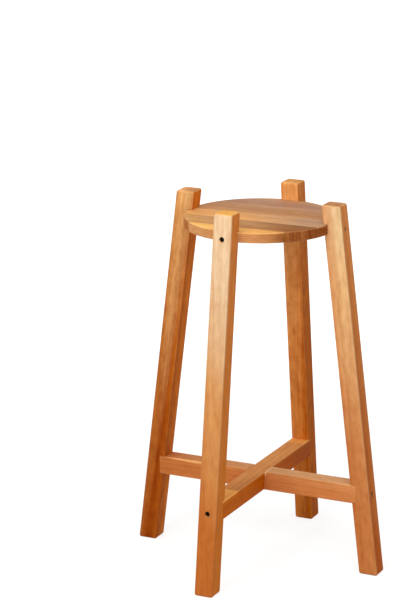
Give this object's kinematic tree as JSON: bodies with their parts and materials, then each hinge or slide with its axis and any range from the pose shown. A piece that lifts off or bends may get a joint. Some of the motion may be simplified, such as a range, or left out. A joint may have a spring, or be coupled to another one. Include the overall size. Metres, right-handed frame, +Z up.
{
  "type": "plant stand",
  "caption": "Wooden plant stand with splayed square legs that rise past a round shelf, joined lower down by a half-lapped cross brace.",
  "frame": {"origin": "on the floor at the centre of the stand, under the crossing of the brace", "axes": "+Z up; the legs stand on the X and Y axes, front leg on -Y, right leg on +X; the shelf staves and one rail run along X"},
  "size_m": [0.4474, 0.4474, 0.63],
  "materials": {
    "leg_wood": "oiled hardwood, satin, honey to orange brown",
    "shelf_wood": "oiled edge-glued hardwood staves, satin",
    "rail_wood": "oiled hardwood, satin, orange brown",
    "bolt_steel": "black oxide",
    "insert_brass": "plain turned"
  },
  "bodies": {
    "root": {"leg_front": "leg_wood", "leg_right": "leg_wood", "leg_back": "leg_wood", "leg_left": "leg_wood", "shelf_stave_1": "shelf_wood", "shelf_stave_2": "shelf_wood", "shelf_stave_3": "shelf_wood", "shelf_stave_4": "shelf_wood", "shelf_stave_5": "shelf_wood", "shelf_stave_6": "shelf_wood", "cross_rail_left_right": "rail_wood", "cross_rail_front_back": "rail_wood", "shelf_bolt_front": "bolt_steel", "shelf_bolt_right": "bolt_steel", "shelf_bolt_back": "bolt_steel", "shelf_bolt_left": "bolt_steel", "rail_bolt_front": "bolt_steel", "rail_bolt_right": "bolt_steel", "rail_bolt_back": "bolt_steel", "rail_bolt_left": "bolt_steel", "shelf_insert_front": "insert_brass", "shelf_insert_right": "insert_brass", "shelf_insert_back": "insert_brass", "shelf_insert_left": "insert_brass", "rail_insert_front": "insert_brass", "rail_insert_right": "insert_brass", "rail_insert_back": "insert_brass", "rail_insert_left": "insert_brass"}
  },
  "joints": []
}
